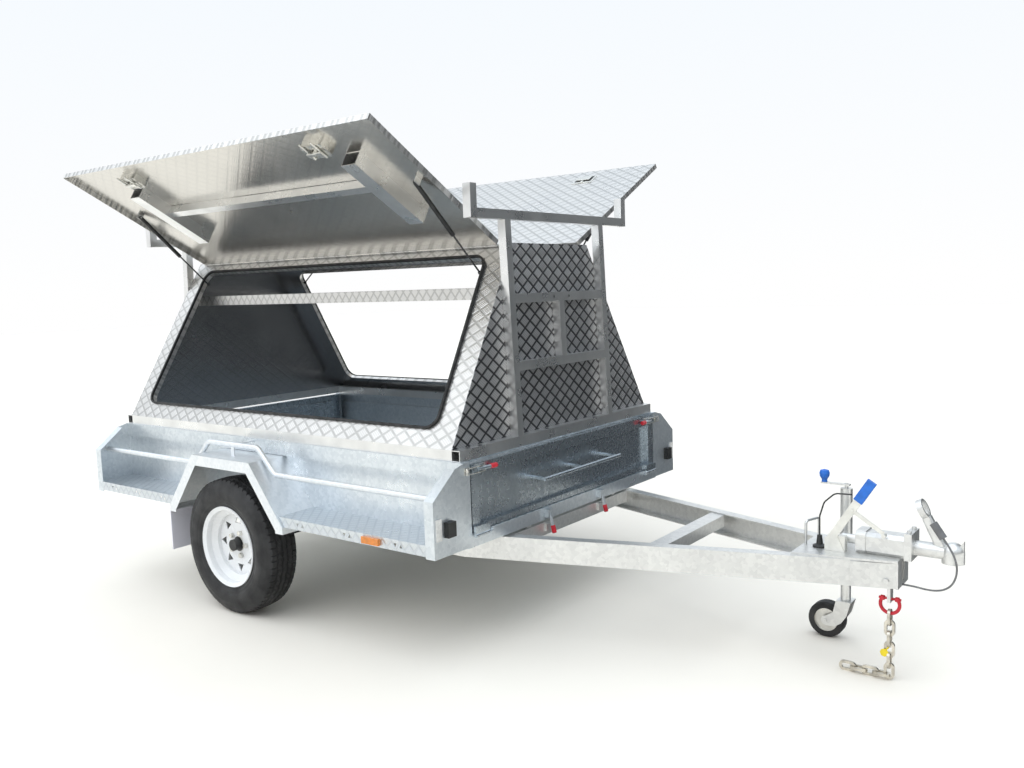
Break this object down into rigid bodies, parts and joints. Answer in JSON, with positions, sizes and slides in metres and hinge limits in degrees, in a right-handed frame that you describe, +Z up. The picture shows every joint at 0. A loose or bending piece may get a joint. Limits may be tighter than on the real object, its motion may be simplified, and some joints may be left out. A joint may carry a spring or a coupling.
{
  "type": "canopy trailer",
  "caption": "Galvanised tilting box trailer with an aluminium checker-plate canopy, lift-up side doors on gas struts, drop gates and a braked A-frame drawbar with jockey wheel.",
  "frame": {"origin": "ground level under the middle of the trailer's overall length and width", "axes": "+X forward to the coupling, +Y to the trailer's left, +Z up"},
  "size_m": [4.179, 2.1772, 2.1463],
  "materials": {
    "galvanised": "hot-dip galvanised, spangled",
    "canopy_plate": "bright rolled checker plate",
    "seal": "matt black",
    "black_steel": "satin black",
    "bright_steel": "zinc plated",
    "tyre": "matt rubber",
    "rim_paint": "gloss white",
    "flap": "matt grey",
    "lamp_red": "gloss lens",
    "lamp_clear": "gloss lens",
    "red_paint": "gloss red",
    "lead": "matt black"
  },
  "bodies": {
    "drawbar": {"drawbar_rails": "galvanised", "drawbar_beams": "galvanised", "coupling_body": "bright_steel", "coupling_head": "bright_steel", "handbrake": "bright_steel", "brake_cable": "lead", "jockey_mount": "bright_steel", "safety_chain": "bright_steel", "shackle": "red_paint", "lighting_lead": "lead", "lead_plug": "lead"},
    "bed": {"tub_floor": "galvanised", "tub_sides": "galvanised", "wing_plates": "galvanised", "shelves": "galvanised", "guard_right": "galvanised", "guard_left": "galvanised", "mudflaps": "flap", "tie_rails": "galvanised", "bed_frame": "galvanised", "pivot_lugs": "galvanised", "springs": "black_steel", "spring_hangers": "black_steel", "axle": "galvanised", "brake_calipers": "black_steel", "canopy_base": "canopy_plate", "canopy_front_wall": "canopy_plate", "canopy_rear_wall": "canopy_plate", "canopy_roof": "canopy_plate", "canopy_side_right": "canopy_plate", "canopy_side_left": "canopy_plate", "door_seals": "seal", "inner_rails": "canopy_plate", "rack_front": "canopy_plate", "rack_rear": "canopy_plate", "tail_lamps": "lamp_red", "marker_lamps": "lamp_clear", "tilt_latches": "galvanised", "frame_brackets": "bright_steel", "gate_hinges": "galvanised"},
    "jockey_leg": {"jockey_leg": "bright_steel"},
    "jockey_fork": {"jockey_fork": "bright_steel"},
    "jockey_wheel": {"jockey_wheel": "tyre"},
    "gate_front": {"gate_front": "galvanised"},
    "gate_rear": {"gate_rear": "galvanised"},
    "wheel_right": {"tyre_right": "tyre", "rim_right": "rim_paint", "hub_right": "bright_steel"},
    "door_right": {"door_right": "canopy_plate", "door_fittings_right": "canopy_plate"},
    "strut_cylinders_right": {"strut_cylinders_right": "black_steel"},
    "strut_rods_right": {"strut_rods_right": "bright_steel"},
    "wheel_left": {"tyre_left": "tyre", "rim_left": "rim_paint", "hub_left": "bright_steel"},
    "door_left": {"door_left": "canopy_plate", "door_fittings_left": "canopy_plate"},
    "strut_cylinders_left": {"strut_cylinders_left": "black_steel"},
    "strut_rods_left": {"strut_rods_left": "bright_steel"}
  },
  "joints": [
    {"name": "bed_tilt", "type": "hinge", "parent": "drawbar", "child": "bed", "pos_m": [-0.8965, 0, 0.42], "axis": [0, 1, 0], "range_deg": [-20, 0]},
    {"name": "gate_front_drop", "type": "hinge", "parent": "bed", "child": "gate_front", "pos_m": [0.4465, 0, 0.516], "axis": [0, 1, 0], "range_deg": [0, 90]},
    {"name": "gate_rear_drop", "type": "hinge", "parent": "bed", "child": "gate_rear", "pos_m": [-2.0395, 0, 0.516], "axis": [0, -1, 0], "range_deg": [0, 90]},
    {"name": "jockey_height", "type": "slide", "parent": "drawbar", "child": "jockey_leg", "axis": [0, 0, 1], "range_m": [0, 0.18]},
    {"name": "jockey_swivel", "type": "hinge", "parent": "jockey_leg", "child": "jockey_fork", "pos_m": [1.5945, 0.258, 0.168], "axis": [0, 0, 1], "continuous": true},
    {"name": "jockey_roll", "type": "hinge", "parent": "jockey_fork", "child": "jockey_wheel", "pos_m": [1.5205, 0.258, 0.075], "axis": [0, 1, 0], "continuous": true},
    {"name": "wheel_right_roll", "type": "hinge", "parent": "bed", "child": "wheel_right", "pos_m": [-0.8965, -0.89, 0.325], "axis": [0, 1, 0], "continuous": true},
    {"name": "door_right_close", "type": "hinge", "parent": "bed", "child": "door_right", "pos_m": [-0.8965, -0.31193, 1.68389], "axis": [1, 0, 0], "range_deg": [0, 89.6]},
    {"name": "strut_right_swing", "type": "hinge", "parent": "door_right", "child": "strut_cylinders_right", "pos_m": [-0.8965, -0.73992, 1.93261], "axis": [1, 0, 0], "range_deg": [0, 9.31]},
    {"name": "strut_right_stroke", "type": "slide", "parent": "strut_cylinders_right", "child": "strut_rods_right", "axis": [0, -0.7303, 0.6831], "range_m": [0, 0.1552]},
    {"name": "wheel_left_roll", "type": "hinge", "parent": "bed", "child": "wheel_left", "pos_m": [-0.8965, 0.89, 0.325], "axis": [0, 1, 0], "continuous": true},
    {"name": "door_left_close", "type": "hinge", "parent": "bed", "child": "door_left", "pos_m": [-0.8965, 0.31193, 1.68389], "axis": [-1, 0, 0], "range_deg": [0, 89.6]},
    {"name": "strut_left_swing", "type": "hinge", "parent": "door_left", "child": "strut_cylinders_left", "pos_m": [-0.8965, 0.73992, 1.93261], "axis": [-1, 0, 0], "range_deg": [0, 9.31]},
    {"name": "strut_left_stroke", "type": "slide", "parent": "strut_cylinders_left", "child": "strut_rods_left", "axis": [0, 0.7303, 0.6831], "range_m": [0, 0.1552]}
  ],
  "couplings": [
    {"joint": "strut_right_swing", "follows": "door_right_close", "ratio": 0.10335},
    {"joint": "strut_right_stroke", "follows": "door_right_close", "m_per_rad": 0.09892},
    {"joint": "strut_left_swing", "follows": "door_left_close", "ratio": 0.10335},
    {"joint": "strut_left_stroke", "follows": "door_left_close", "m_per_rad": 0.09892}
  ]
}
